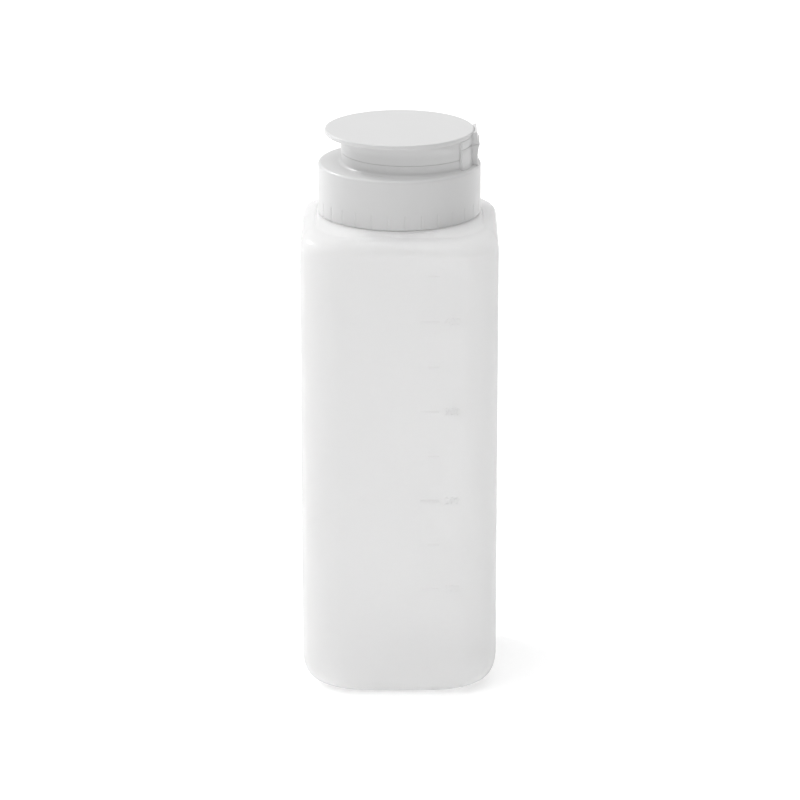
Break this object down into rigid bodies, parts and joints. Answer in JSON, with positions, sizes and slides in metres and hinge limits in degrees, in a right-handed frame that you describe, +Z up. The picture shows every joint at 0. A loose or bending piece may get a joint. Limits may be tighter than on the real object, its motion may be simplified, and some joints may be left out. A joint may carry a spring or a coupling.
{
  "type": "squeeze bottle",
  "caption": "Square translucent squeeze bottle with a fluted screw cap and a hinged flip-top lid over a small pouring spout.",
  "frame": {"origin": "centre of the bottle's standing plane, on the cap's axis", "axes": "+Z up along the bottle, +X towards the lid's hinge, -X towards the lid's thumb tab"},
  "size_m": [0.063, 0.063, 0.1821],
  "materials": {
    "frosted_body": "frosted, milky translucent polyethylene, satin surface",
    "white_cap": "opaque white polypropylene, semi-gloss moulded surface",
    "soft_seal": "soft translucent white elastomer, matt"
  },
  "bodies": {
    "bottle": {"bottle_body": "frosted_body"},
    "seal": {"sealing_ring": "soft_seal"},
    "cap": {"cap_base": "white_cap", "cap_hinge_leaf": "white_cap", "hinge_film": "white_cap"},
    "lid": {"flip_lid": "white_cap", "lid_hinge_leaf": "white_cap"}
  },
  "joints": [
    {"name": "cap_rise", "type": "slide", "parent": "bottle", "child": "seal", "axis": [0, 0, 1], "range_m": [0, 0.0168]},
    {"name": "cap_turn", "type": "hinge", "parent": "seal", "child": "cap", "pos_m": [0, 0, 0.16], "axis": [0, 0, 1], "range_deg": [0, 1440]},
    {"name": "lid_hinge", "type": "hinge", "parent": "cap", "child": "lid", "pos_m": [0.02545, 0, 0.17785], "axis": [0, 1, 0], "range_deg": [0, 170]}
  ],
  "couplings": [
    {"joint": "cap_rise", "follows": "cap_turn", "m_per_rad": 0.00066845}
  ]
}
